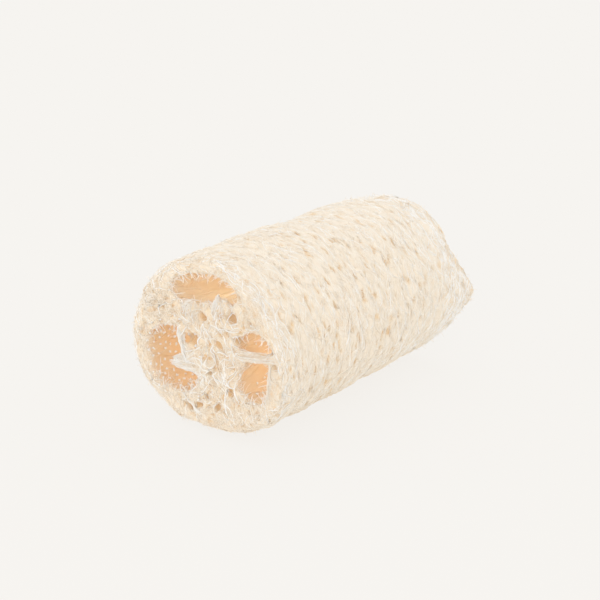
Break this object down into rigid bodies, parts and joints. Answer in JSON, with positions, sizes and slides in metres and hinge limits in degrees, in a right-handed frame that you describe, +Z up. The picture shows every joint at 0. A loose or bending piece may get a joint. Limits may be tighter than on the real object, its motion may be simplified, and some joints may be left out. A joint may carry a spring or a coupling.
{
  "type": "natural loofah sponge",
  "caption": "Cylindrical bath sponge cut from a dried luffa gourd: a matted fibre wall with open seed chambers running from end to end around a fibrous core.",
  "frame": {"origin": "middle of the sponge's bounding box, at the flat spot of its underside that it rests on", "axes": "+X along the sponge's length from the near cut end to the far one, +Y to the left seen from the near end, +Z up"},
  "size_m": [0.1416, 0.083, 0.0758],
  "materials": {
    "loofah_fibre": "matte dry cream plant fibre, warmer and darker inside the chambers"
  },
  "bodies": {
    "root": {"loofah_sponge": "loofah_fibre"}
  },
  "joints": []
}
